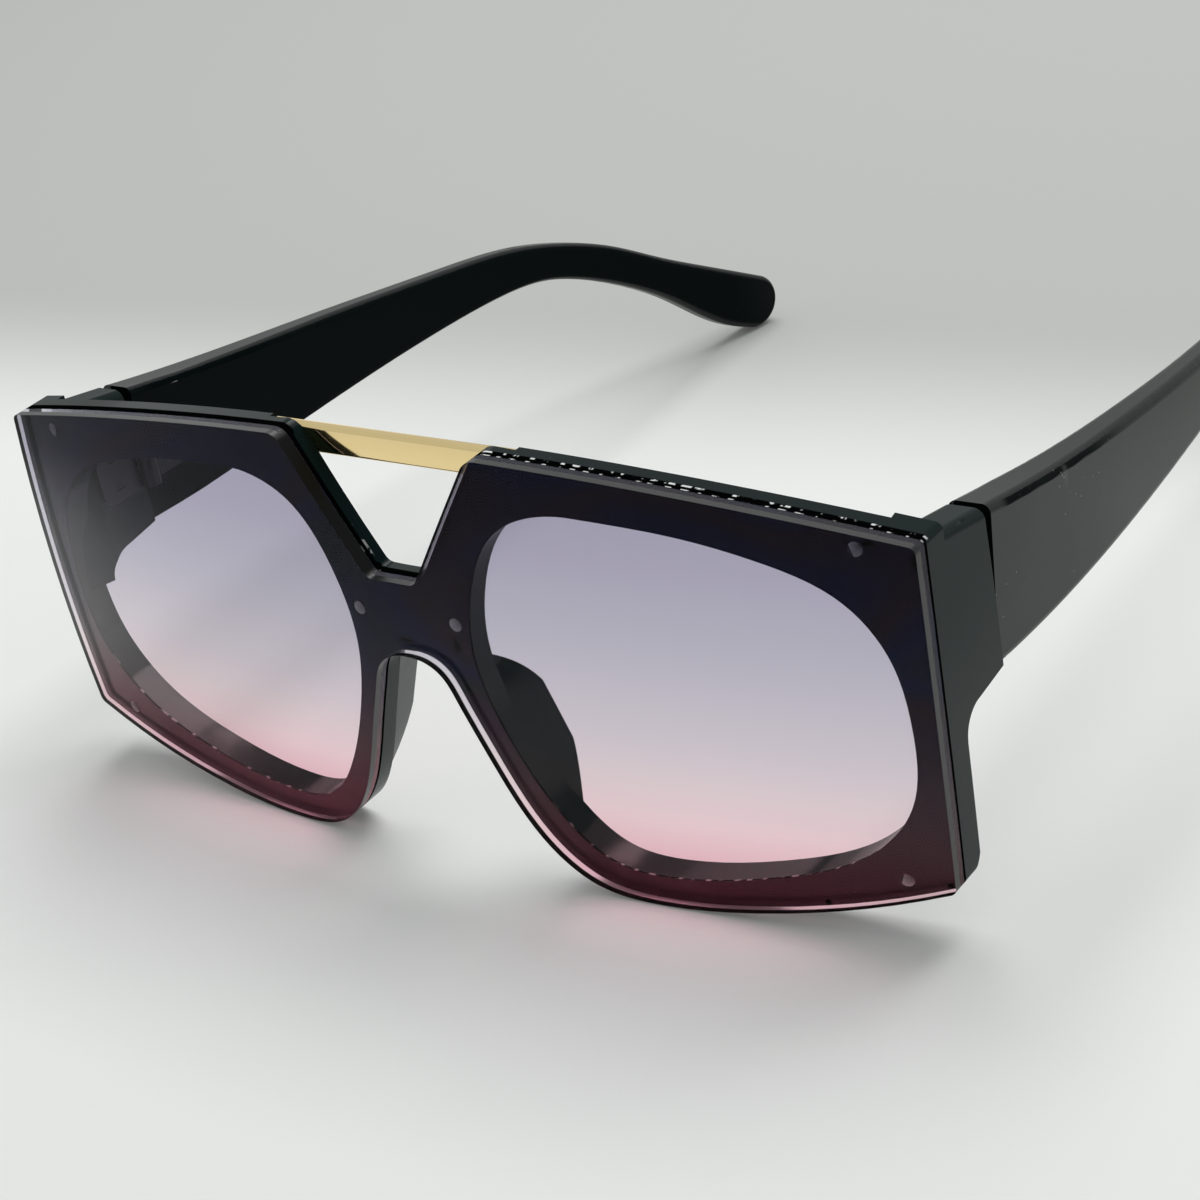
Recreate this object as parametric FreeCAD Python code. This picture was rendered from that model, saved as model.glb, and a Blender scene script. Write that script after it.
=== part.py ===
"""Oversized shield sunglasses: one tinted lens over a black front, a gilt brow bar and folding temples.

Sizes are in millimetres. The pieces are drawn about the middle of the lens front, with X to the wearer's
left, Y from front to back and Z up, and are then moved so that the origin lies under the middle of the
glasses, on the surface that the rims and the temple tips stand on. Left and right are the wearer's.
"""
import FreeCAD, Part
import math
import os
from FreeCAD import Vector

# Front outline, seen square on; sizes ending in _IN are counted in from the widest line
FRONT_HALF = 74.1
SIDE_MID_Z = 4.0
CORNER_TOP_IN = 0.2
CORNER_TOP_Z = 23.8
CORNER_LOW_IN = 1.0
CORNER_LOW_Z = -24.0
BROW_Z = 31.0
NOTCH_TOP_X = 15.6
NOTCH_FLOOR_X = 3.9
NOTCH_FLOOR_Z = 12.3
NOSE_TOP_Z = 1.3
RIM_LOW_X = 30.0
RIM_LOW_Z = -32.2
NOTCH_TOP_R = 2.6
NOTCH_FLOOR_R = 1.6
CORNER_R = 1.1

# Sweep of the outline between those points, as shares of the run and of the rise
BROW_SWEEP = ((0.35, 0.81), (0.57, 0.60), (0.78, 0.34))
RIM_SWEEP = ((0.37, 0.15), (0.71, 0.52))
NOSE_SWEEP = (
    (0.75, 0.04), (0.58, 0.155), (0.41, 0.41), (0.30, 0.665), (0.23, 0.83), (0.17, 0.94), (0.09, 0.988),
)

# Eye openings
EYE_IN_X = 9.9
EYE_OUT_IN = 4.2
EYE_TOP_Z = 23.8
EYE_LOW_Z = -28.6
EYE_SWEEP = (
    (0.31, 1.0), (0.55, 0.975), (0.735, 0.926), (0.888, 0.842), (0.972, 0.708), (1.0, 0.527),
    (0.972, 0.298), (0.86, 0.151), (0.635, 0.048), (0.385, 0.0), (0.243, 0.023), (0.13, 0.155),
    (0.042, 0.365), (0.0, 0.574), (0.028, 0.771), (0.115, 0.935),
)

# Lens and frame are shells of spheres about one centre behind the front
BASE_CURVE_R = 363.0
LENS_T = 2.0
GLUE_T = 0.1
FRAME_T = 4.3
BRIDGE_SCOOP = 1.7
BRIDGE_SCOOP_HALF = 15.0
REBATE_D = 0.7
REBATE_W = 1.2
BROW_BEVEL = 1.2
BEVEL_OVER = 0.4
BEVEL_STEPS = 12
RIM_BACK_R = 3.0
RIM_BACK_TILT = 24.0

# Lens pegs, glued in blind holes of the frame
PEG_R = 0.95
PEG_L = 2.4
PEG_ROOT = 1.0
PEG_CLEAR = 0.05
PEG_HOLE_OVER = 0.4
BRIDGE_PEG_X = 8.0
BRIDGE_PEG_Z = 6.4
BROW_PEG_IN = 8.4
BROW_PEG_Z = 22.5
RIM_PEG_IN = 8.1
RIM_PEG_Z = -23.8

# Moulded nose pads
PAD_ROOT_Y = 5.0
PAD_BACK_Y = 12.4
PAD_TOP_Z = 0.9
PAD_DEEP_Z = -7.0
PAD_LOW_Z = -26.2
PAD_T = 3.2
PAD_TIP_T = 1.6
PAD_FLARE = 0.28

# Endpieces and the seam that the temples close on
SEAM_Y = 24.4
SEAM_GAP = 0.2
SEAM_OUT_IN = 0.15
SEAM_T = 5.75
SEAM_TOP_Z = 20.8
SEAM_LOW_Z = -0.6
END_ROOT_Z = -5.5
END_ROOT_R = 4.0
END_DROP = 0.8
END_EDGE_R = 1.4
END_WALL = 0.3

# Temples, along their length from the seam
TEMPLE_L = 144.4
BULB_R = 4.9
TEMPLE_MID_IN = 3.8
TEMPLE_TIP_IN = 17.6
TEMPLE_MID_T = 3.9
TEMPLE_TIP_T = 4.5
TEMPLE_EDGE_R = 1.2
TEMPLE_FLAT = 2.0
WEDGE_TOP = 1.5
WEDGE_Z = 7.8
TOP_SWEEP = (
    (0.163, 0.901), (0.319, 0.826), (0.516, 0.735), (0.639, 0.668), (0.713, 0.594), (0.785, 0.494),
    (0.857, 0.362), (0.931, 0.234),
)
LOW_SWEEP = (
    (0.935, -0.014), (0.863, 0.314), (0.791, 0.588), (0.719, 0.798), (0.664, 0.91), (0.588, 0.966),
    (0.496, 0.979), (0.272, 0.971),
)
BULB_SLOPE = -32.0

# Brow bar in its notches behind the brow, lapped on the frame beyond the notch in the outline
BAR_LAP = 4.6
BAR_FRONT_Y = 6.3
BAR_T = 1.6
BAR_LOW_Z = 26.2
BAR_TOP_Z = 30.2
BAR_EDGE_R = 0.45
BAR_CLEAR = 0.05

# Hinges: three barrels on an upright screw, leaves on the inner faces
HINGE_Z = 10.0
LEAF_T = 1.0
LEAF_L = 9.0
LEAF_H = 8.4
LEAF_CORNER_R = 2.1
BARREL_R = 1.4
BARREL_H = 2.8
BARREL_GAP = 0.06
BARREL_PROUD = 0.6
WEB_LAP = 0.5
PIN_R = 0.6
PIN_CLEAR = 0.03
PIN_HEAD_R = 1.2
PIN_HEAD_H = 0.8
PIN_TIP = 0.3
KNUCKLE_CLEAR = 0.2

# Small countersunk screws
SCREW_R = 0.55
SCREW_HEAD_R = 1.0
SCREW_HEAD_H = 0.5
SCREW_CLEAR = 0.03
SCREW_BITE = 2.2
LEAF_SCREW_Y = 5.6
LEAF_SCREW_Z = 2.3
BAR_SCREW_IN = 2.2
SLOT_W = 0.3
SLOT_D = 0.25

CORNER_TOP_X = FRONT_HALF - CORNER_TOP_IN
CORNER_LOW_X = FRONT_HALF - CORNER_LOW_IN
EYE_OUT_X = FRONT_HALF - EYE_OUT_IN
SEAM_OUT_X = FRONT_HALF - SEAM_OUT_IN
SEAM_IN_X = SEAM_OUT_X - SEAM_T
BAR_HALF = NOTCH_TOP_X + BAR_LAP
BAR_SCREW_X = BAR_HALF - BAR_SCREW_IN
HINGE_X = SEAM_IN_X - LEAF_T - BARREL_PROUD
PEGS = (
    (BRIDGE_PEG_X, BRIDGE_PEG_Z),
    (FRONT_HALF - BROW_PEG_IN, BROW_PEG_Z),
    (FRONT_HALF - RIM_PEG_IN, RIM_PEG_Z),
)
REACH = 60.0
FORE = 5.0
CENTRE = Vector(0, BASE_CURVE_R, 0)
AXIS_X = Vector(1, 0, 0)
AXIS_Y = Vector(0, 1, 0)
AXIS_Z = Vector(0, 0, 1)
FRAME_FRONT_R = BASE_CURVE_R - LENS_T - GLUE_T
FRAME_BACK_R = FRAME_FRONT_R - FRAME_T


def mirrored(shape):
    return shape.mirror(Vector(0, 0, 0), AXIS_X)


def spline(points):
    curve = Part.BSplineCurve()
    curve.interpolate(points)
    return curve.toShape()


def between(a, b, shares):
    """Points whose x runs from a to b and whose z rises from a to b, by shares."""
    return [Vector(a.x + u * (b.x - a.x), 0, a.z + w * (b.z - a.z)) for u, w in shares]


def through(a, b, c):
    return Part.Arc(a, b, c).toShape()


def line(a, b):
    return Part.LineSegment(a, b).toShape()


def sphere_depth(x, z, radius):
    """Y of the front of a sphere about the common centre."""
    return BASE_CURVE_R - math.sqrt(radius ** 2 - x ** 2 - z ** 2)


def edges_along_y(solid, spots, tolerance=0.5):
    """Straight edges parallel to Y that stand at the given x, z spots."""
    found = []
    for edge in solid.Edges:
        a, b = edge.Vertexes[0].Point, edge.Vertexes[-1].Point
        if abs(a.x - b.x) < 1e-4 and abs(a.z - b.z) < 1e-4 and abs(a.y - b.y) > 1.0:
            if any(abs(a.x - x) < tolerance and abs(a.z - z) < tolerance for x, z in spots):
                found.append(edge)
    return found


def brow_edge():
    """The left brow of the outline, from the notch to the outer corner."""
    notch_top = Vector(NOTCH_TOP_X, 0, BROW_Z)
    corner_top = Vector(CORNER_TOP_X, 0, CORNER_TOP_Z)
    run = [(u, 1 - w) for u, w in BROW_SWEEP]
    return spline([notch_top] + between(notch_top, corner_top, run) + [corner_top])


def sharp_prism():
    """The front's outline as a long prism along Y, with its corners left sharp."""
    notch_top = Vector(NOTCH_TOP_X, 0, BROW_Z)
    corner_top = Vector(CORNER_TOP_X, 0, CORNER_TOP_Z)
    corner_low = Vector(CORNER_LOW_X, 0, CORNER_LOW_Z)
    floor = Vector(NOTCH_FLOOR_X, 0, NOTCH_FLOOR_Z)
    rim_low = Vector(RIM_LOW_X, 0, RIM_LOW_Z)
    nose_top = Vector(0, 0, NOSE_TOP_Z)
    brow = brow_edge()
    side = through(corner_top, Vector(FRONT_HALF, 0, SIDE_MID_Z), corner_low)
    rim = list(reversed(between(rim_low, corner_low, RIM_SWEEP)))
    nose = between(Vector(0, 0, RIM_LOW_Z), Vector(RIM_LOW_X, 0, NOSE_TOP_Z), NOSE_SWEEP)
    half = [corner_low] + rim + [rim_low] + nose
    lower = spline(half + [nose_top] + [Vector(-p.x, 0, p.z) for p in reversed(half)])
    flank = line(floor, notch_top)
    left = [flank, brow, side]
    edges = left + [mirrored(edge) for edge in left]
    edges += [lower, line(Vector(-floor.x, 0, floor.z), floor)]
    wire = Part.Wire(Part.__sortEdges__(edges))
    prism = Part.Face(wire).extrude(AXIS_Y * REACH)
    prism.translate(AXIS_Y * -FORE)
    return prism


def rounded_prism(prism):
    """The same prism with its corners rounded."""
    for radius, spots in (
        (NOTCH_TOP_R, [(NOTCH_TOP_X, BROW_Z)]),
        (NOTCH_FLOOR_R, [(NOTCH_FLOOR_X, NOTCH_FLOOR_Z)]),
        (CORNER_R, [(CORNER_TOP_X, CORNER_TOP_Z), (CORNER_LOW_X, CORNER_LOW_Z)]),
    ):
        spots = spots + [(-x, z) for x, z in spots]
        prism = prism.makeFillet(radius, edges_along_y(prism, spots))
    return prism


def eye_prism():
    low = Vector(EYE_IN_X, 0, EYE_LOW_Z)
    high = Vector(EYE_OUT_X, 0, EYE_TOP_Z)
    curve = Part.BSplineCurve()
    curve.interpolate(between(low, high, EYE_SWEEP), PeriodicFlag=True)
    face = Part.Face(Part.Wire(curve.toShape()))
    return face.extrude(AXIS_Y * REACH)


def shield_lens(prism):
    shell = prism.common(Part.makeSphere(BASE_CURVE_R, CENTRE))
    shell = shell.cut(Part.makeSphere(BASE_CURVE_R - LENS_T, CENTRE))
    pegs = []
    for x, z in PEGS:
        back = sphere_depth(x, z, BASE_CURVE_R - LENS_T)
        peg = Part.makeCylinder(PEG_R, PEG_ROOT + PEG_L, Vector(x, back - PEG_ROOT, z), AXIS_Y)
        pegs += [peg, mirrored(peg)]
    return shell.fuse(pegs).removeSplitter()


def peg_holes():
    holes = []
    for x, z in PEGS:
        front = sphere_depth(x, z, BASE_CURVE_R - LENS_T)
        hole = Part.makeCylinder(PEG_R + PEG_CLEAR, PEG_L + PEG_HOLE_OVER, Vector(x, front, z), AXIS_Y)
        holes += [hole, mirrored(hole)]
    return holes


def nose_pad():
    """A flared fin behind the left flank of the nose gap, deepest in its upper third."""
    start, stop = Vector(0, 0, RIM_LOW_Z), Vector(RIM_LOW_X, 0, NOSE_TOP_Z)
    flank = between(start, stop, NOSE_SWEEP)[1:]

    def section(y, thick):
        shift = PAD_FLARE * (y - PAD_ROOT_Y)
        inner = [Vector(p.x + shift, y, p.z) for p in flank]
        outer = [Vector(p.x + thick, y, p.z) for p in inner]
        ends = line(inner[-1], outer[-1]), line(outer[0], inner[0])
        edges = [spline(inner), ends[0], spline(list(reversed(outer))), ends[1]]
        return Part.Wire(edges)

    fin = Part.makeLoft([section(PAD_ROOT_Y, PAD_T), section(PAD_BACK_Y, PAD_TIP_T)], True, True)
    top = Vector(0, PAD_ROOT_Y, PAD_TOP_Z)
    low = Vector(0, PAD_ROOT_Y, PAD_LOW_Z)
    deep = Vector(0, PAD_BACK_Y, PAD_DEEP_Z)
    side = Part.Face(Part.Wire([spline([top, deep, low]), line(low, top)]))
    return fin.common(side.extrude(AXIS_X * REACH))


def endpiece(sharp, prism):
    """The left endpiece: a side profile run across X, cut to its plan and flush with the front's side."""
    outside = FRONT_HALF + END_EDGE_R
    rear = SEAM_Y - SEAM_GAP / 2
    root_y = sphere_depth(FRONT_HALF, END_ROOT_Z, FRAME_BACK_R)
    front_y = root_y - FRAME_T
    top_front = Vector(0, front_y, CORNER_TOP_Z)
    top_rear = Vector(0, rear, SEAM_TOP_Z)
    low_rear = Vector(0, rear, SEAM_LOW_Z)
    bend_rear = Vector(0, root_y + END_ROOT_R, SEAM_LOW_Z - END_DROP)
    bend_low = Vector(0, root_y, SEAM_LOW_Z - END_DROP - END_ROOT_R)
    lean = END_ROOT_R * (1 - math.sqrt(0.5))
    bend_mid = Vector(0, root_y + lean, SEAM_LOW_Z - END_DROP - lean)
    low_front = Vector(0, front_y, bend_low.z)
    edges = [
        line(top_front, top_rear), line(top_rear, low_rear), line(low_rear, bend_rear),
        through(bend_rear, bend_mid, bend_low), line(bend_low, low_front), line(low_front, top_front),
    ]
    profile = Part.Face(Part.Wire(edges)).extrude(AXIS_X * (2 * REACH))
    plan = Part.makePolygon([
        Vector(outside, front_y, -REACH), Vector(outside, rear, -REACH), Vector(SEAM_IN_X, rear, -REACH),
        Vector(SEAM_IN_X, rear - LEAF_L, -REACH), Vector(EYE_OUT_X + END_WALL, front_y, -REACH),
        Vector(outside, front_y, -REACH),
    ])
    plan = Part.Face(plan).extrude(AXIS_Z * (2 * REACH))
    block = profile.common(plan).common(sharp)
    upper = [e for e in block.Edges if e.CenterOfMass.z > (SEAM_TOP_Z + SEAM_LOW_Z) / 2]
    long_edges = [e for e in upper if abs(e.tangentAt(e.FirstParameter).y) > 0.9]
    block = block.makeFillet(END_EDGE_R, long_edges)
    return block.common(prism).common(Part.makeSphere(FRAME_FRONT_R, CENTRE))


def bar_notches():
    """Room for the bar's ends, open to the back and to the brow."""
    size_x = 2 * (BAR_HALF + BAR_CLEAR)
    low = BAR_LOW_Z - BAR_CLEAR
    return Part.makeBox(size_x, REACH, REACH, Vector(-size_x / 2, BAR_FRONT_Y, low))


def bridge_scoop():
    """A shallow upright hollow in the back of the bridge."""
    back = sphere_depth(0, NOTCH_FLOOR_Z, FRAME_BACK_R)
    radius = BRIDGE_SCOOP_HALF ** 2 / (2 * BRIDGE_SCOOP)
    return Part.makeCylinder(radius, 2 * REACH, Vector(0, back - BRIDGE_SCOOP + radius, -REACH), AXIS_Z)


def seam_rebate(prism):
    """A narrow step round the front's outer edge, just behind the lens."""
    shrink = FreeCAD.Matrix()
    shrink.scale(1 - REBATE_D / FRONT_HALF, 1, 1 - REBATE_D / BROW_Z)
    core = prism.transformGeometry(shrink)
    block = Part.makeBox(4 * REACH, REACH, 4 * REACH, Vector(-2 * REACH, -FORE, -2 * REACH))
    return block.cut([core, Part.makeSphere(FRAME_FRONT_R - REBATE_W, CENTRE)])


def brow_bevel():
    """What bevelling takes off the left brow's back edge: a triangle run along it up to the endpiece."""
    brow = brow_edge()
    last = brow.Curve.parameter(Vector(SEAM_IN_X, 0, CORNER_TOP_Z))
    run = brow.discretize(Number=BEVEL_STEPS, First=brow.FirstParameter, Last=last)
    spots = [Vector(p.x, sphere_depth(p.x, p.z, FRAME_BACK_R), p.z) for p in run]
    start = spots[0]
    over = BEVEL_OVER
    corners = [
        start + Vector(0, -BROW_BEVEL - over, over), start + Vector(0, over, over),
        start + Vector(0, over, -BROW_BEVEL - over),
    ]
    profile = Part.makePolygon(corners + corners[:1])
    return Part.Wire(spline(spots)).makePipeShell([profile], True, False)


def rim_corner():
    """What rounding takes off the left rim's low back corner, fading out along the rim."""
    back = sphere_depth(CORNER_LOW_X, CORNER_LOW_Z, FRAME_BACK_R)
    middle = Vector(CORNER_LOW_X, back - RIM_BACK_R, CORNER_LOW_Z + RIM_BACK_R)
    block = Part.makeBox(2 * REACH, REACH, REACH, middle - Vector(REACH, 0, REACH))
    block = block.cut(Part.makeCylinder(RIM_BACK_R, 2 * REACH, middle - AXIS_X * REACH, AXIS_X))
    block.rotate(middle, AXIS_Y, -RIM_BACK_TILT)
    return block


def front_frame(sharp, prism):
    shell = prism.common(Part.makeSphere(FRAME_FRONT_R, CENTRE))
    shell = shell.cut(Part.makeSphere(FRAME_BACK_R, CENTRE))
    eye = eye_prism()
    shell = shell.cut([eye, mirrored(eye), bridge_scoop()])
    end = endpiece(sharp, prism)
    pad = nose_pad()
    body = shell.fuse([end, mirrored(end), pad, mirrored(pad)])
    holes = leaf_screw_holes(-1)
    corner = rim_corner()
    bevel = brow_bevel()
    body = body.cut([seam_rebate(prism), corner, mirrored(corner), bevel, mirrored(bevel)])
    cuts = [bar_notches()] + peg_holes() + holes + [mirrored(hole) for hole in holes] + bar_screw_holes()
    return body.cut(cuts)


def countersunk(at, direction, bite, clear=0.0):
    """A countersunk screw, head face at a point, driven along a direction."""
    head = Part.makeCone(SCREW_HEAD_R + clear, SCREW_R + clear, SCREW_HEAD_H, at, direction)
    shank = Part.makeCylinder(SCREW_R + clear, bite + clear, at, direction)
    return head.fuse(shank).removeSplitter()


def leaf_screw_spots(side):
    """Heads of a leaf's two screws: side -1 on the endpiece, 1 on the temple."""
    x = SEAM_IN_X - LEAF_T
    y = SEAM_Y + side * LEAF_SCREW_Y
    return [Vector(x, y, HINGE_Z + dz) for dz in (-LEAF_SCREW_Z, LEAF_SCREW_Z)]


def leaf_screw_holes(side):
    return [countersunk(p, AXIS_X, LEAF_T + SCREW_BITE, SCREW_CLEAR) for p in leaf_screw_spots(side)]


def slotted(screw, at, direction):
    """Cuts a driver slot across a screw's head."""
    corner = Vector(-1.5 * SCREW_HEAD_R, -SLOT_D, -SLOT_W / 2)
    slot = Part.makeBox(3 * SCREW_HEAD_R, 2 * SLOT_D, SLOT_W, corner)
    slot.Placement = FreeCAD.Placement(at, FreeCAD.Rotation(AXIS_Y, direction))
    return screw.cut(slot)


def leaf_screws(side):
    screws = []
    for at in leaf_screw_spots(side):
        screws.append(slotted(countersunk(at, AXIS_X, LEAF_T + SCREW_BITE), at, AXIS_X))
    return Part.makeCompound(screws)


def bar_screw_spots():
    z = (BAR_LOW_Z + BAR_TOP_Z) / 2
    return [Vector(x, BAR_FRONT_Y + BAR_T, z) for x in (-BAR_SCREW_X, BAR_SCREW_X)]


def bar_screw_holes():
    return [countersunk(at, -AXIS_Y, BAR_T + SCREW_BITE, SCREW_CLEAR) for at in bar_screw_spots()]


def brow_bar():
    bar = Part.makeBox(2 * BAR_HALF, BAR_T, BAR_TOP_Z - BAR_LOW_Z, Vector(-BAR_HALF, BAR_FRONT_Y, BAR_LOW_Z))
    rim = [e for e in bar.Edges if abs(e.Vertexes[0].Point.x - e.Vertexes[1].Point.x) > 1]
    return bar.makeFillet(BAR_EDGE_R, rim).cut(bar_screw_holes())


def bar_screws():
    screws = []
    for at in bar_screw_spots():
        screws.append(slotted(countersunk(at, -AXIS_Y, BAR_T + SCREW_BITE), at, -AXIS_Y))
    return Part.makeCompound(screws)


def barrel_floor(index):
    return HINGE_Z + (index - 1.5) * BARREL_H + BARREL_GAP / 2


def hinge_leaf(side, barrels):
    """A leaf on the left side: side -1 runs forward from the seam, 1 backward; barrels are its knuckles."""
    plate_x = SEAM_IN_X - LEAF_T
    y0 = SEAM_Y if side > 0 else SEAM_Y - LEAF_L
    plate = Part.makeBox(LEAF_T, LEAF_L, LEAF_H, Vector(plate_x, y0, HINGE_Z - LEAF_H / 2))
    end_y = SEAM_Y + side * LEAF_L
    corners = []
    for edge in plate.Edges:
        a, b = edge.Vertexes[0].Point, edge.Vertexes[1].Point
        if abs(a.x - b.x) > 0.5 and abs(a.y - end_y) < 1e-6:
            corners.append(edge)
    plate = plate.makeFillet(LEAF_CORNER_R, corners)
    ring = BARREL_R + KNUCKLE_CLEAR
    ring_y = SEAM_Y if side > 0 else SEAM_Y - ring
    plate = plate.cut(Part.makeBox(LEAF_T, ring, LEAF_H, Vector(plate_x, ring_y, HINGE_Z - LEAF_H / 2)))
    knuckles = []
    for index in barrels:
        floor = barrel_floor(index)
        height = BARREL_H - BARREL_GAP
        knuckles.append(Part.makeCylinder(BARREL_R, height, Vector(HINGE_X, SEAM_Y, floor), AXIS_Z))
        web_y = SEAM_Y if side > 0 else SEAM_Y - ring - WEB_LAP
        knuckles.append(Part.makeBox(LEAF_T, ring + WEB_LAP, height, Vector(plate_x, web_y, floor)))
    leaf = plate.fuse(knuckles)
    bore = Part.makeCylinder(PIN_R + PIN_CLEAR, 2 * LEAF_H, Vector(HINGE_X, SEAM_Y, HINGE_Z - LEAF_H), AXIS_Z)
    return leaf.cut([bore] + leaf_screw_holes(side)).removeSplitter()


def hinge_screw():
    top = barrel_floor(2) + BARREL_H - BARREL_GAP
    low = barrel_floor(0) - PIN_TIP
    shank = Part.makeCylinder(PIN_R, top - low, Vector(HINGE_X, SEAM_Y, low), AXIS_Z)
    head = Part.makeCylinder(PIN_HEAD_R, PIN_HEAD_H, Vector(HINGE_X, SEAM_Y, top), AXIS_Z)
    screw = shank.fuse(head).removeSplitter()
    slot = Part.makeBox(3 * PIN_HEAD_R, SLOT_W, 2 * SLOT_D)
    slot.translate(Vector(HINGE_X - 1.5 * PIN_HEAD_R, SEAM_Y - SLOT_W / 2, top + PIN_HEAD_H - SLOT_D))
    return screw.cut(slot)


def temple():
    """The left temple: a side profile run across X, cut to its bowed plan, with its long edges rounded."""
    front = SEAM_Y + SEAM_GAP / 2
    bulb = Vector(0, SEAM_Y + TEMPLE_L, RIM_LOW_Z + BULB_R)

    def edge_points(sweep, seam_z):
        return [Vector(0, front + u * (bulb.y - front), bulb.z + w * (seam_z - bulb.z)) for u, w in sweep]

    slope = math.radians(BULB_SLOPE)
    along = Vector(0, math.cos(slope), math.sin(slope))
    across = Vector(0, -math.sin(slope), math.cos(slope))
    bulb_top = bulb + across * BULB_R
    bulb_low = bulb - across * BULB_R
    top = spline([Vector(0, front, SEAM_TOP_Z)] + edge_points(TOP_SWEEP, SEAM_TOP_Z) + [bulb_top])
    low = spline([bulb_low] + edge_points(LOW_SWEEP, SEAM_LOW_Z) + [Vector(0, front, SEAM_LOW_Z)])
    tip = through(bulb_top, bulb + along * BULB_R, bulb_low)
    face_line = line(Vector(0, front, SEAM_LOW_Z), Vector(0, front, SEAM_TOP_Z))
    profile = Part.Face(Part.Wire([top, tip, low, face_line])).extrude(AXIS_X * (2 * REACH))
    end_y = SEAM_Y + TEMPLE_L + 2 * BULB_R
    mid_y = (front + end_y) / 2
    flat_y = front + LEAF_L + TEMPLE_FLAT
    z = -REACH
    outer = [Vector(SEAM_OUT_X, front, z), Vector(SEAM_OUT_X - TEMPLE_MID_IN, mid_y, z),
             Vector(SEAM_OUT_X - TEMPLE_TIP_IN, end_y, z)]
    inner = [Vector(SEAM_IN_X, flat_y, z), Vector(outer[1].x - TEMPLE_MID_T, mid_y, z),
             Vector(outer[2].x - TEMPLE_TIP_T, end_y, z)]
    hinge_foot = Vector(SEAM_IN_X, front, z)
    plan = Part.Face(Part.Wire([
        through(*outer), line(outer[2], inner[2]), through(*reversed(inner)), line(inner[0], hinge_foot),
        line(hinge_foot, outer[0]),
    ])).extrude(AXIS_Z * (2 * REACH))
    arm = profile.common(plan)
    arm = arm.makeFillet(TEMPLE_EDGE_R, [e for e in arm.Edges if not isinstance(e.Curve, Part.Line)])
    wedge_low = Vector(0, front, WEDGE_Z)
    wedge_top = Vector(0, front + WEDGE_TOP, SEAM_TOP_Z)
    wedge_high = wedge_top * 2 - wedge_low
    wedge_front = Vector(0, SEAM_Y, wedge_high.z)
    wedge_foot = Vector(0, SEAM_Y, WEDGE_Z)
    wedge = Part.makePolygon([wedge_low, wedge_high, wedge_front, wedge_foot, wedge_low])
    wedge = Part.Face(wedge).extrude(AXIS_X * (2 * REACH))
    return arm.cut([wedge] + leaf_screw_holes(1)).removeSplitter()


def both_sides(name, shape):
    return {name + "_left": shape, name + "_right": mirrored(shape)}


def build():
    sharp = sharp_prism()
    prism = rounded_prism(sharp)
    pieces = {
        "front_frame": front_frame(sharp, prism),
        "shield_lens": shield_lens(prism),
        "brow_bar": brow_bar(),
        "brow_bar_screws": bar_screws(),
    }
    pieces.update(both_sides("temple", temple()))
    pieces.update(both_sides("front_hinge_leaf", hinge_leaf(-1, (0, 2))))
    pieces.update(both_sides("temple_hinge_leaf", hinge_leaf(1, (1,))))
    pieces.update(both_sides("hinge_screw", hinge_screw()))
    pieces.update(both_sides("front_leaf_screws", leaf_screws(-1)))
    pieces.update(both_sides("temple_leaf_screws", leaf_screws(1)))
    return pieces


def main():
    pieces = build()
    box = Part.makeCompound(list(pieces.values())).optimalBoundingBox(False)
    to_origin = Vector(0, -(box.YMin + box.YMax) / 2, -box.ZMin)
    os.makedirs("parts", exist_ok=True)
    for name, shape in pieces.items():
        shape.translate(to_origin)
        shape.exportStep("parts/" + name + ".step")
        print(name, "solids", len(shape.Solids), "valid", shape.isValid(), "volume", round(shape.Volume, 1))
    hinge = Vector(HINGE_X, SEAM_Y, HINGE_Z) + to_origin
    print("moved by", to_origin, "left hinge axis at", hinge)
    print("size", box.XLength, box.YLength, box.ZLength)


main()
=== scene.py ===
"""Oversized shield sunglasses on a pale floor: tinted lens, black mouldings, gilt brow bar, steel hinges."""

import bpy
import numpy as np
from mathutils import Matrix, Vector


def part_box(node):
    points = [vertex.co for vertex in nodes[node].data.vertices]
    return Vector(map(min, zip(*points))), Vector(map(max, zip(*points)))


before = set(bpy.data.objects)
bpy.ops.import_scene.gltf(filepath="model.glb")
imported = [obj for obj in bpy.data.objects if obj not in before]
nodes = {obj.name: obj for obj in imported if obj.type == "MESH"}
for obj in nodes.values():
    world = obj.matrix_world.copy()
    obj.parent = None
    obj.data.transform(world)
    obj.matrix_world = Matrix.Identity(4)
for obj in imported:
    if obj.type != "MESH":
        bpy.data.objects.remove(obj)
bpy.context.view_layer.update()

# Lengths are in metres. A soft edge is the two values it runs between, and a soft band is two such edges.

# Camera: where it stands, where it looks, and which way is right in the picture
CAMERA_AT = (0.22172, -0.31100, 0.20139)
CAMERA_LOOK = (-0.5682, 0.6785, -0.4656)
CAMERA_RIGHT = (0.8108, 0.5584, -0.1755)
CAMERA_NEAR = 0.01
FOCAL_PX = 2740.9
PICTURE_PX = 1200
SENSOR_MM = 36.0

# The lens is a shell on this ball: depths are counted back from its front, heights from its middle.
# A face follows the ball where its facing lies along the ball's spoke by this share.
BALL_R = 0.363
LENS_T = 0.002
LENS_FRONT_Y = float(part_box("shield_lens")[0][1])
LENS_MID_Z = 0.03223
BALL_MID = (0.0, LENS_FRONT_Y + BALL_R, LENS_MID_Z)
ALONG_BALL = (0.4, 0.8)

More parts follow.
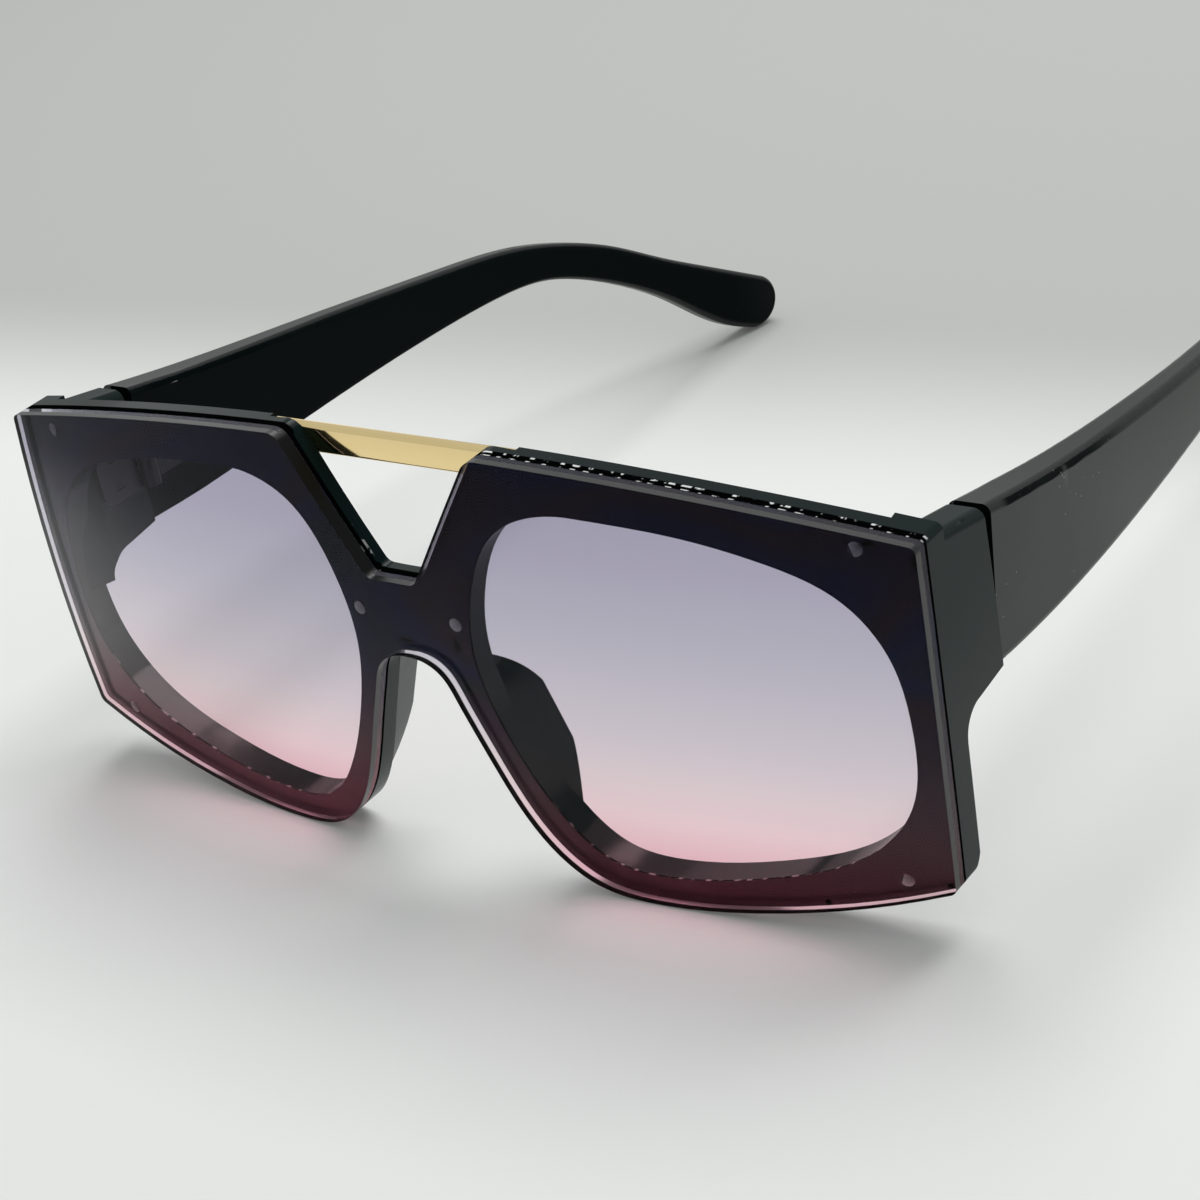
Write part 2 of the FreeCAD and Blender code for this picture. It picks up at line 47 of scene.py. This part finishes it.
# Lens tint: share of light that passes, from the rims up to the brow
TINT_TOP_Z = 0.0635
TINT = (
    (0.00, (1.00, 0.46, 0.60)),
    (0.11, (1.00, 0.60, 0.68)),
    (0.22, (1.00, 0.75, 0.80)),
    (0.32, (0.87, 0.735, 0.785)),
    (0.41, (0.75, 0.67, 0.745)),
    (0.60, (0.57, 0.54, 0.64)),
    (0.80, (0.45, 0.42, 0.54)),
    (1.00, (0.38, 0.36, 0.48)),
)

# Lens: depth of the painted dark reflection on the cut edge, white in the cut edge, where lint ends and how
# much shows, where pegs start
CUT_DARK_DEPTH = (0.0010, 0.0012)
CUT_WHITE = 0.45
LINT_END = (0.0005, 0.0006)
LINT_SHARE = 0.35
PEG_START = (LENS_T + 0.0001, LENS_T + 0.0002)

# Painted sheen, as extra coat, on the wearer's right of the lens: how far from the middle, at which heights,
# and how strong
SHEEN_SIDE = (0.030, 0.085)
SHEEN_HEIGHT = ((-0.024, -0.006), (0.004, 0.024))
SHEEN = 0.75

# Sides of the notch over the bridge: half width, lower end, turn towards the middle, and loss of gloss as
# painted shade
NOTCH_HALF = (0.022, 0.024)
NOTCH_LOW = (0.004, 0.006)
NOTCH_TURN = (0.3, 0.6)
NOTCH_SHADE_FRONT = 0.8
NOTCH_SHADE_LENS = 0.7

# Brow bar: the middle of its front face, how fast that face falls away above and below, and how far it leans
BAR_MID_Z = 0.0604
BAR_CROWN = 35.0
BAR_LEAN = 0.10

# Painted shade in dark lines behind the lens: a thin one inside the eyes, and the groove round the outside,
# widest on top
SEAM_LINE = 0.0004
GROOVE_SIDE = 0.0006
GROOVE_TOP = 0.0014
GROOVE_END = (0.85, 1.0)
EYE_MID_X = 0.039
OUTWARD_TURN = (-0.001, 0.001)
UPWARD_TURN = (0.4, 0.7)
UNDER_LENS = (0.0003, 0.0005)

# Front: gloss at the rims and at the brow, the heights between which it changes, and how much its dust shows
GLOSS_RIM = 0.55
GLOSS_BROW = 0.40
GLOSS_TURN = (-0.012, 0.015)
FRONT_DUST_SHARE = 0.3

# Adhesive beading, whitened as painted glints: its rows as depths behind the lens, where they run, and how
# they break up
BEAD_ROW = (0.0002, 0.0004)
BEAD_SECOND_ROW = ((0.0008, 0.0009), (0.0012, 0.0013))
BEAD_RIM_ROW = (0.0003, 0.0005)
BEAD_RIM_SHARE = 0.6
BEAD_BROW_X = (0.010, 0.014)
BEAD_NOTCH_X = ((-0.0076, -0.0070), (-0.003, -0.002))
BEAD_RIM_HEIGHT = (-0.014, -0.010)
BEAD_PITCH = 0.0021
BEAD_SWING = 0.11
BEAD_CUT = (0.53, 0.62)

# Stray adhesive that joins lens and front: x, height, half width, half height
GLUE = (
    (0.0549, -0.0288, 0.0005, 0.0005),
    (0.0715, -0.0242, 0.0005, 0.0006),
    (0.0003, 0.0094, 0.0004, 0.0004),
    (0.0651, -0.0269, 0.0015, 0.0004),
    (-0.0009, 0.0028, 0.0012, 0.0004),
    (0.0726, 0.0211, 0.0004, 0.0012),
    (0.0675, 0.0232, 0.0010, 0.0004),
    (0.0075, 0.0032, 0.0005, 0.0012),
)

# Temples: limits of the inner and the outer face, as facing times distance from the middle, and their gloss,
# low inside as painted shade
TEMPLE_INNER = (-0.055, -0.045)
TEMPLE_OUTER = (0.0, 0.05)
GLOSS_INSIDE_SHADED = 0.06
GLOSS_OUTSIDE = 0.66

# Painted dark reflection on each temple's upper edge: how far that faces up, its run behind the seam, and
# how much coat it takes away
TEMPLE_START_Y = float(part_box("temple_right")[0][1])
DARK_REFLECTION_TURN = ((0.15, 0.20), (0.70, 0.75))
DARK_REFLECTION_RUN = ((0.004, 0.006), (0.026, 0.040))
DARK_REFLECTION_SHARE = 0.9

# Wear on the temples: where scratches and smears start in their patterns, and how much of each mark shows
SCRATCH_CUT = (0.70, 0.76)
SMEAR_CUT = (0.35, 0.75)
DUST_SHARE = 0.7
SCRATCH_SHARE = 0.22
SMEAR_SHARE = 0.05

# Plastics, metals and marks; the near-black also paints shade and dark reflections, GLINT paints glints, and
# the pale peg colour a highlight
BLACK = (0.0030, 0.0100, 0.0100, 1)
TEMPLE_BLACK = (0.0030, 0.0055, 0.0055, 1)
SHADE_AND_SPOT_BLACK = (0.0012, 0.0013, 0.0014, 1)
DUST = (0.30, 0.30, 0.29, 1)
GLINT = (0.75, 0.76, 0.76, 1)
PEG_HIGHLIGHT = (0.85, 0.84, 0.84, 1)
WHITE = (1, 1, 1, 1)
GILT_DEEP = (0.90, 0.69, 0.33, 1)
GILT_PALE = (0.95, 0.76, 0.41, 1)
STEEL_DEEP = (0.030, 0.030, 0.032, 1)
STEEL_PALE = (0.050, 0.050, 0.053, 1)

# Soft rims of dust dots and of adhesive spots, as shares of their size
DOT_CORE = 0.6
SPOT_EDGE = (0.6, 1.0)

# Colour of the front under the lens: haze along the rims, lighter and redder on the wearer's right as
# painted reflection, faint bands above
HAZE = (0.048, 0.040, 0.046, 1)
HAZE_WITH_PAINTED_REFLECTION = (0.072, 0.054, 0.060, 1)
HAZE_TURN_X = (-0.02, 0.02)
HAZE_TURN_HEIGHT = (-0.016, 0.002)
BANDS = (
    (0.36, (0.008, 0.012, 0.045)),
    (0.44, (0.030, 0.018, 0.016)),
    (0.50, (0.008, 0.014, 0.050)),
    (0.56, (0.010, 0.026, 0.018)),
    (0.64, (0.034, 0.010, 0.040)),
)

# Pale floor just under the rims: lighter around the glasses, greyer towards the back as painted shade
FLOOR_HALF = 2.5
FLOOR_STEPS = 5
FLOOR_Z = -0.0002
FLOOR_NEAR = (0.86, 0.87, 0.855, 1)
FLOOR_FAR_SHADE = (0.47, 0.485, 0.465, 1)
FLOOR_BACK = (-0.12, 0.99)
FLOOR_TURN = (0.015, 0.095)
FLOOR_GLOW = (0.05, 0.05, 0.05, 1)
NO_GLOW = (0, 0, 0, 1)

# The room: how much it lights, and how pale it looks where it shows, also in gloss and through the lens
ROOM_COLOUR = (0.97, 1.0, 0.985, 1)
ROOM_LIGHT = 0.40
ROOM_SEEN = 0.60

# Lamps: name, place, aim, width and depth, watts
LAMPS = (
    ("overhead", (0.0, 0.40, 1.0), (0.0, 0.0, 0.0), (1.0, 0.6), 8.0),
    ("back left", (-0.84, 0.73, 0.43), (0.0, 0.0, 0.05), (0.4, 0.4), 0.25),
)


class Field:
    """A shader socket that takes part in Python arithmetic."""

    def __init__(self, wiring, socket):
        self.wiring = wiring
        self.socket = socket

    def _math(self, operation, *values):
        return self.wiring.field("ShaderNodeMath", "Value", {"operation": operation}, *values)

    def __add__(self, other):
        return self._math("ADD", self, other)

    def __radd__(self, other):
        return self._math("ADD", other, self)

    def __sub__(self, other):
        return self._math("SUBTRACT", self, other)

    def __rsub__(self, other):
        return self._math("SUBTRACT", other, self)

    def __mul__(self, other):
        return self._math("MULTIPLY", self, other)

    def __rmul__(self, other):
        return self._math("MULTIPLY", other, self)

    def __truediv__(self, other):
        return self._math("DIVIDE", self, other)

    def __rtruediv__(self, other):
        return self._math("DIVIDE", other, self)

    def __abs__(self):
        return self._math("ABSOLUTE", self)

    def most(self, other):
        return self._math("MAXIMUM", self, other)

    def clamp(self):
        return self._math("MINIMUM", self.most(0.0), 1.0)

    def sign(self):
        return self._math("SIGN", self)

    def sine(self):
        return self._math("SINE", self)

    def step(self, low, high):
        """0 below low, 1 above high, smooth between."""
        return self.wiring.field(
            "ShaderNodeMapRange", "Result", {"interpolation_type": "SMOOTHSTEP"}, self, low, high, 0.0, 1.0
        )

    def fade(self, low, high):
        """1 below low, 0 above high, smooth between."""
        return 1 - self.step(low, high)

    def band(self, rise, fall):
        """1 between a soft rise and a soft fall, 0 outside."""
        return self.step(*rise) * self.fade(*fall)

    def span(self, first, last):
        """The first value at 0, the last at 1."""
        return first + self * (last - first)


class Wiring:
    """An empty node tree, whose nodes all come from one method."""

    def __init__(self, tree):
        self.tree = tree
        self.tree.nodes.clear()

    def put(self, socket, value):
        """Links a field to a socket, or sets a plain value on it."""
        if isinstance(value, Field):
            self.tree.links.new(value.socket, socket)
        else:
            socket.default_value = value

    def node(self, kind, settings, *values, **named):
        """A node of this kind: its settings first, then its sockets in order or by name (_ for a space)."""
        node = self.tree.nodes.new(kind)
        for key, value in settings.items():
            if key == "stops":
                self.stops(node.color_ramp, value)
            else:
                setattr(node, key, value)
        for socket, value in zip(node.inputs, values):
            if value is not None:
                self.put(socket, value)
        for key, value in named.items():
            self.put(node.inputs[key.replace("_", " ")], value)
        return node

    def field(self, kind, output, settings, *values, **named):
        """One output of a new node."""
        return Field(self, self.node(kind, settings, *values, **named).outputs[output])

    @staticmethod
    def stops(ramp, stops):
        while len(ramp.elements) < len(stops):
            ramp.elements.new(0.5)
        for element, (place, colour) in zip(ramp.elements, stops):
            element.position = place
            element.color = (*colour, 1.0)

    def seen(self):
        """1 where a thing is seen straight, in gloss or through the lens, 0 where it only gives light."""
        ways = ("Is Camera Ray", "Is Glossy Ray", "Is Transmission Ray")
        return sum(self.field("ShaderNodeLightPath", way, {}) for way in ways).clamp()


class Finish(Wiring):
    """A material: patterns worked out from each point's place and facing, and shaders fed by them."""

    def __init__(self, name):
        self.material = bpy.data.materials.new(name)
        self.material.use_nodes = True
        super().__init__(self.material.node_tree)

    def place(self):
        """Object coordinates, in metres."""
        return self.field("ShaderNodeTexCoord", "Object", {})

    def facing(self):
        """The way a surface faces, in the object's own axes."""
        return self.field("ShaderNodeTexCoord", "Normal", {})

    def at(self, letter):
        """One of a point's coordinates."""
        return self.field("ShaderNodeSeparateXYZ", letter, {}, self.place())

    def turned(self, letter):
        """How far a surface faces along one axis."""
        return self.field("ShaderNodeSeparateXYZ", letter, {}, self.facing())

    def height(self):
        """How far a point lies above the lens's middle."""
        return self.at("Z") - LENS_MID_Z

    def vector(self, operation, output, *values):
        return self.field("ShaderNodeVectorMath", output, {"operation": operation}, *values)

    def depth(self):
        """How far a point lies behind the lens's front: the ball's radius less the way to its middle."""
        return BALL_R - self.vector("DISTANCE", "Value", self.place(), BALL_MID)

    def edge_on(self):
        """0 on a face that follows the lens's ball, 1 on a wall that stands square to it."""
        spoke = self.vector("SUBTRACT", "Vector", self.place(), BALL_MID)
        spoke = self.vector("NORMALIZE", "Vector", spoke)
        return abs(self.vector("DOT_PRODUCT", "Value", spoke, self.facing())).fade(*ALONG_BALL)

    def notch_side(self):
        """1 on the sides of the notch over the bridge, 0 elsewhere."""
        across = self.at("X")
        inward = self.turned("X") * across.sign() * -1
        return inward.step(*NOTCH_TURN) * self.height().step(*NOTCH_LOW) * abs(across).fade(*NOTCH_HALF)

    def noise(self, scale, detail=2.0, rough=0.5, stretch=(1.0, 1.0, 1.0)):
        """Cloudy noise around 0.5, drawn out along an axis where stretch is under 1."""
        where = self.field("ShaderNodeMapping", "Vector", {}, self.place(), Scale=stretch)
        return self.field(
            "ShaderNodeTexNoise", "Fac", {}, where, Scale=scale, Detail=detail, Roughness=rough
        )

    def dust(self, scale, size, patch_scale, patch_cut):
        """1 inside small dots scattered in patches, 0 outside."""
        away = self.field("ShaderNodeTexVoronoi", "Distance", {"feature": "F1"}, self.place(), Scale=scale)
        return away.fade(size * DOT_CORE, size) * self.noise(patch_scale).step(*patch_cut)

    def spot(self, across, height, half_x, half_z):
        """1 inside an ellipse seen square on, 0 outside."""
        x = across / half_x
        z = height / half_z
        return (x * x + z * z).fade(*SPOT_EDGE)

    def mix(self, share, first, second):
        """The first colour, with the second in its place by this share."""
        # The node's sockets for numbers and vectors come before those for colours, and so do their outputs
        other_kinds = [None] * 5
        colour_output = 2
        return self.field(
            "ShaderNodeMix", colour_output, {"data_type": "RGBA"}, share, *other_kinds, first, second
        )

    def ramp(self, share, stops):
        return self.field("ShaderNodeValToRGB", "Color", {"stops": stops}, share)

    def bump(self, height, distance, strength=1.0):
        return self.field(
            "ShaderNodeBump", "Normal", {}, Strength=strength, Distance=distance, Height=height
        )

    def shader(self, **sockets):
        return self.field("ShaderNodeBsdfPrincipled", "BSDF", {}, **sockets)

    def blend(self, share, first, second):
        """The first shader, with the second in its place by this share."""
        return self.field("ShaderNodeMixShader", "Shader", {}, share, first, second)

    def wear(self, shader):
        """The material, with this shader as its surface."""
        self.node("ShaderNodeOutputMaterial", {}, shader)
        return self.material


def adhesive_bead_glints(finish, back, outer):
    """1 where adhesive beading takes painted glints: two broken rows along the brow and in the notch, a
    fainter one in the rims.
    """
    across = finish.at("X")
    brow = outer * (across.step(*BEAD_BROW_X) + across.band(*BEAD_NOTCH_X))
    brow = brow * (back.fade(*BEAD_ROW) + back.band(*BEAD_SECOND_ROW))
    rims = (1 - outer) * finish.height().fade(*BEAD_RIM_HEIGHT) * back.fade(*BEAD_RIM_ROW) * BEAD_RIM_SHARE
    beat = (across * (2 * np.pi / BEAD_PITCH)).sine() * BEAD_SWING
    broken = finish.noise(scale=1000.0, detail=2.0, rough=0.6, stretch=(1.0, 0.5, 0.5))
    return (brow + rims) * (broken + beat).step(*BEAD_CUT)


def adhesive_spots(finish):
    """1 on the stray spots of adhesive, 0 elsewhere."""
    across = finish.at("X")
    height = finish.height()
    return sum(finish.spot(across - x, height - z, half_x, half_z) for x, z, half_x, half_z in GLUE)


def under_lens(finish):
    """Colour of the front where the lens covers it: haze along the rims, with painted reflection on the
    wearer's right, faint bands of colour above.
    """
    haze = finish.mix(finish.at("X").step(*HAZE_TURN_X), HAZE_WITH_PAINTED_REFLECTION, HAZE)
    hue = finish.noise(scale=45.0, detail=1.0, rough=0.4, stretch=(0.5, 1.0, 1.0))
    return finish.mix(finish.height().step(*HAZE_TURN_HEIGHT), haze, finish.ramp(hue, BANDS))


def front_black():
    """Polished black moulding: coloured under the lens, painted shade in its groove, painted glints on its
    adhesive beading, adhesive spots.
    """
    finish = Finish("front_black")
    across = finish.at("X")
    height = finish.height()
    back = finish.depth() - LENS_T
    out_x = finish.turned("X") * across.sign()
    out_z = finish.turned("Z")
    wall = finish.edge_on()
    outer = ((abs(across) - EYE_MID_X) * out_x + height * out_z).step(*OUTWARD_TURN)
    upward = out_z.step(*UPWARD_TURN)
    covered = (1 - wall) * back.fade(*UNDER_LENS)

    # Painted shade: the groove and the seam line inside the eyes take the near-black and lose their coat;
    # the adhesive spots are real
    width = SEAM_LINE + outer * (GROOVE_SIDE - SEAM_LINE + upward * (GROOVE_TOP - GROOVE_SIDE))
    groove = wall * (back / width).fade(*GROOVE_END)
    bead_glints = (wall * upward * adhesive_bead_glints(finish, back, outer)).clamp()
    spots = (adhesive_spots(finish) * covered).clamp()
    shade_and_spots = groove.most(spots) * (1 - bead_glints)

    dust = finish.dust(scale=900.0, size=0.09, patch_scale=60.0, patch_cut=(0.55, 0.65))
    colour = finish.mix((dust * FRONT_DUST_SHARE).clamp(), BLACK, DUST)
    colour = finish.mix(covered, colour, under_lens(finish))
    # Painted glints: the adhesive beading takes the pale glint colour
    colour = finish.mix(bead_glints, colour, GLINT)
    gloss = height.step(*GLOSS_TURN).span(GLOSS_RIM, GLOSS_BROW)
    return finish.wear(finish.shader(
        Base_Color=finish.mix(shade_and_spots, colour, SHADE_AND_SPOT_BLACK),
        Roughness=dust.span(0.35, 0.65),
        Specular_IOR_Level=0.0,
        # Painted shade on the notch sides, by less coat
        Coat_Weight=gloss * (1 - shade_and_spots) * (1 - finish.notch_side() * NOTCH_SHADE_FRONT),
        Coat_Roughness=0.11,
        Coat_IOR=1.5,
    ))


def temple_black():
    """Black moulding: glossy, dusty and scratched outside, a painted dark reflection behind the seam,
    painted shade inside.
    """
    finish = Finish("temple_black")
    outward = finish.turned("X") * finish.at("X")
    dust = finish.dust(scale=700.0, size=0.10, patch_scale=70.0, patch_cut=(0.50, 0.62))
    scratch = finish.noise(scale=300.0, detail=1.0, rough=0.4, stretch=(1.0, 0.5, 0.10)).step(*SCRATCH_CUT)
    smear = finish.noise(scale=30.0, detail=3.0).step(*SMEAR_CUT)
    marks = dust * DUST_SHARE + scratch * SCRATCH_SHARE + smear * SMEAR_SHARE
    marks = (marks * outward.step(*TEMPLE_OUTER)).clamp()
    behind = finish.at("Y") - TEMPLE_START_Y
    # Painted dark reflection: less coat on the upper edge just behind the seam
    dark_reflection = finish.turned("Z").band(*DARK_REFLECTION_TURN) * behind.band(*DARK_REFLECTION_RUN)
    # Painted shade: the inner faces keep little coat
    gloss = outward.step(*TEMPLE_INNER).span(GLOSS_INSIDE_SHADED, GLOSS_OUTSIDE)
    return finish.wear(finish.shader(
        Base_Color=finish.mix(marks, TEMPLE_BLACK, DUST),
        Roughness=dust.span(0.4, 0.6),
        Specular_IOR_Level=0.0,
        Coat_Weight=gloss * (1 - dark_reflection * DARK_REFLECTION_SHARE),
        Coat_Roughness=0.10,
        Coat_IOR=1.5,
    ))


def shaded_lens():
    """Clear plastic, violet above and pink below: linty face, satin cut edge with a painted dark reflection
    in front, pegs painted with shade and a highlight.
    """
    finish = Finish("shaded_lens")
    depth = finish.depth()
    notch = finish.notch_side()
    tint = finish.ramp(finish.at("Z") / TINT_TOP_Z, TINT)
    # Painted sheen: extra coat on the wearer's right of the lens
    sheen = (0 - finish.at("X")).step(*SHEEN_SIDE) * finish.height().band(*SHEEN_HEIGHT) * SHEEN
    clear = finish.shader(
        Base_Color=tint, Roughness=0.0, IOR=1.13, Transmission_Weight=1.0,
        Coat_Weight=sheen, Coat_Roughness=0.0, Coat_IOR=1.5,
    )
    cut = finish.shader(
        Base_Color=finish.mix(CUT_WHITE, tint, WHITE), Roughness=0.2, IOR=1.04, Transmission_Weight=0.93,
    )
    # Painted dark: near-black with coat, for the dark reflection on the cut edge, shade on the notch sides
    # and shade at the peg ends
    painted_dark = finish.shader(
        Base_Color=SHADE_AND_SPOT_BLACK, Specular_IOR_Level=0.0,
        Coat_Weight=1 - notch * NOTCH_SHADE_LENS, Coat_Roughness=0.3, Coat_IOR=1.5,
    )
    peg_highlight = finish.shader(Base_Color=PEG_HIGHLIGHT, Roughness=0.5)
    lint = finish.shader(Base_Color=DUST, Roughness=0.9)

    dust = finish.dust(scale=260.0, size=0.05, patch_scale=50.0, patch_cut=(0.50, 0.60))
    face = finish.blend(dust * depth.fade(*LINT_END) * LINT_SHARE, clear, lint)
    edge = finish.blend(depth.fade(*CUT_DARK_DEPTH).most(notch), cut, painted_dark)
    body = finish.blend(finish.edge_on(), face, edge)
    # Pegs: painted shade on their ends, a pale painted highlight on their walls
    peg = finish.blend(finish.edge_on(), painted_dark, peg_highlight)
    return finish.wear(finish.blend(depth.step(*PEG_START), body, peg))


def gilt():
    """Polished gilt metal with faint polishing marks along it, its face crowned and leaning a little."""
    finish = Finish("gilt_polish")
    marks = finish.noise(scale=900.0, detail=2.0, rough=0.5, stretch=(0.03, 1.0, 1.0))
    off = finish.at("Z") - BAR_MID_Z
    relief = off * off * -BAR_CROWN - finish.at("X") * BAR_LEAN
    return finish.wear(finish.shader(
        Base_Color=finish.mix(marks, GILT_DEEP, GILT_PALE),
        Metallic=1.0,
        Roughness=marks.span(0.06, 0.12),
        Normal=finish.bump(relief, distance=1.0),
    ))


def hinge_steel():
    """Dark nickelled steel, barrel-polished."""
    finish = Finish("hinge_steel")
    grain = finish.noise(scale=1500.0, detail=2.0, rough=0.5, stretch=(1.0, 0.1, 1.0))
    return finish.wear(finish.shader(
        Base_Color=finish.mix(grain, STEEL_DEEP, STEEL_PALE),
        Metallic=1.0,
        Roughness=grain.span(0.25, 0.37),
    ))


def floor_paper():
    """Matt pale paper with a faint tooth, lighter around the glasses, greyer further back as painted shade.
    """
    finish = Finish("floor_paper")
    back_x, back_y = FLOOR_BACK
    back = finish.at("X") * back_x + finish.at("Y") * back_y
    return finish.wear(finish.shader(
        Base_Color=finish.mix(back.step(*FLOOR_TURN), FLOOR_NEAR, FLOOR_FAR_SHADE),
        Roughness=0.9,
        Specular_IOR_Level=0.1,
        Emission_Color=finish.mix(finish.seen(), NO_GLOW, FLOOR_GLOW),
        Emission_Strength=1.0,
        Normal=finish.bump(finish.noise(scale=900.0, detail=3.0), distance=0.0001, strength=0.2),
    ))


def place_in_scene(name, data):
    """A new object in the scene with this mesh, lamp or camera."""
    piece = bpy.data.objects.new(name, data)
    bpy.context.scene.collection.objects.link(piece)
    return piece


def grid_mesh(name, points, material):
    """A mesh from a grid of points with shape (rows, columns, 3), one quad between each four neighbours."""
    rows, columns = points.shape[:2]
    index = np.arange(rows * columns).reshape(rows, columns)
    corners = [index[:-1, :-1], index[:-1, 1:], index[1:, 1:], index[1:, :-1]]
    quads = np.stack(corners, axis=-1).reshape(-1, 4)
    mesh = bpy.data.meshes.new(name)
    mesh.from_pydata(points.reshape(-1, 3).tolist(), [], quads.tolist())
    mesh.polygons.foreach_set("use_smooth", np.full(len(quads), True))
    mesh.materials.append(material)
    mesh.update()
    return place_in_scene(name, mesh)


def floor():
    """A flat square sheet just under the rims: points at every pair of steps across and along."""
    steps = np.linspace(-FLOOR_HALF, FLOOR_HALF, FLOOR_STEPS)
    along, across = np.meshgrid(steps, steps, indexing="ij")
    points = np.stack([across, along, np.full_like(across, FLOOR_Z)], axis=-1)
    grid_mesh("floor", points, floor_paper())


def camera():
    """The camera, its axes along the picture's right, the picture's up and the way back from the glasses."""
    data = bpy.data.cameras.new("camera")
    data.sensor_width = SENSOR_MM
    data.lens = SENSOR_MM * FOCAL_PX / PICTURE_PX
    data.clip_start = CAMERA_NEAR
    look = Vector(CAMERA_LOOK).normalized()
    right = Vector(CAMERA_RIGHT)
    right = (right - look * right.dot(look)).normalized()
    up = right.cross(look)
    piece = place_in_scene("camera", data)
    piece.matrix_world = Matrix.Translation(CAMERA_AT) @ Matrix((right, up, -look)).transposed().to_4x4()
    bpy.context.scene.camera = piece


def lamp(name, at, aim, size, watts):
    """A white rectangular lamp that faces its aim."""
    data = bpy.data.lights.new(name, "AREA")
    data.shape = "RECTANGLE"
    data.size, data.size_y = size
    data.energy = watts
    piece = place_in_scene(name, data)
    piece.location = at
    piece.rotation_euler = (Vector(aim) - Vector(at)).to_track_quat("-Z", "Y").to_euler()


def light():
    """A dim even room that looks paler than it shines, a broad lamp overhead and a weak one at the back."""
    world = bpy.data.worlds.new("room")
    world.use_nodes = True
    room = Wiring(world.node_tree)
    strength = room.seen().span(ROOM_LIGHT, ROOM_SEEN)
    background = room.field("ShaderNodeBackground", "Background", {}, ROOM_COLOUR, strength)
    room.node("ShaderNodeOutputWorld", {}, background)
    bpy.context.scene.world = world
    for settings in LAMPS:
        lamp(*settings)
    bpy.context.scene.view_settings.view_transform = "Standard"


def dress():
    """Gives each piece its finish: hinge leaves and screws are all of the one steel."""
    temple = temple_black()
    finishes = {
        "front_frame": front_black(),
        "shield_lens": shaded_lens(),
        "brow_bar": gilt(),
        "temple_left": temple,
        "temple_right": temple,
    }
    steel = hinge_steel()
    for name, node in nodes.items():
        node.data.materials[0] = finishes.get(name, steel)


camera()
light()
floor()
dress()
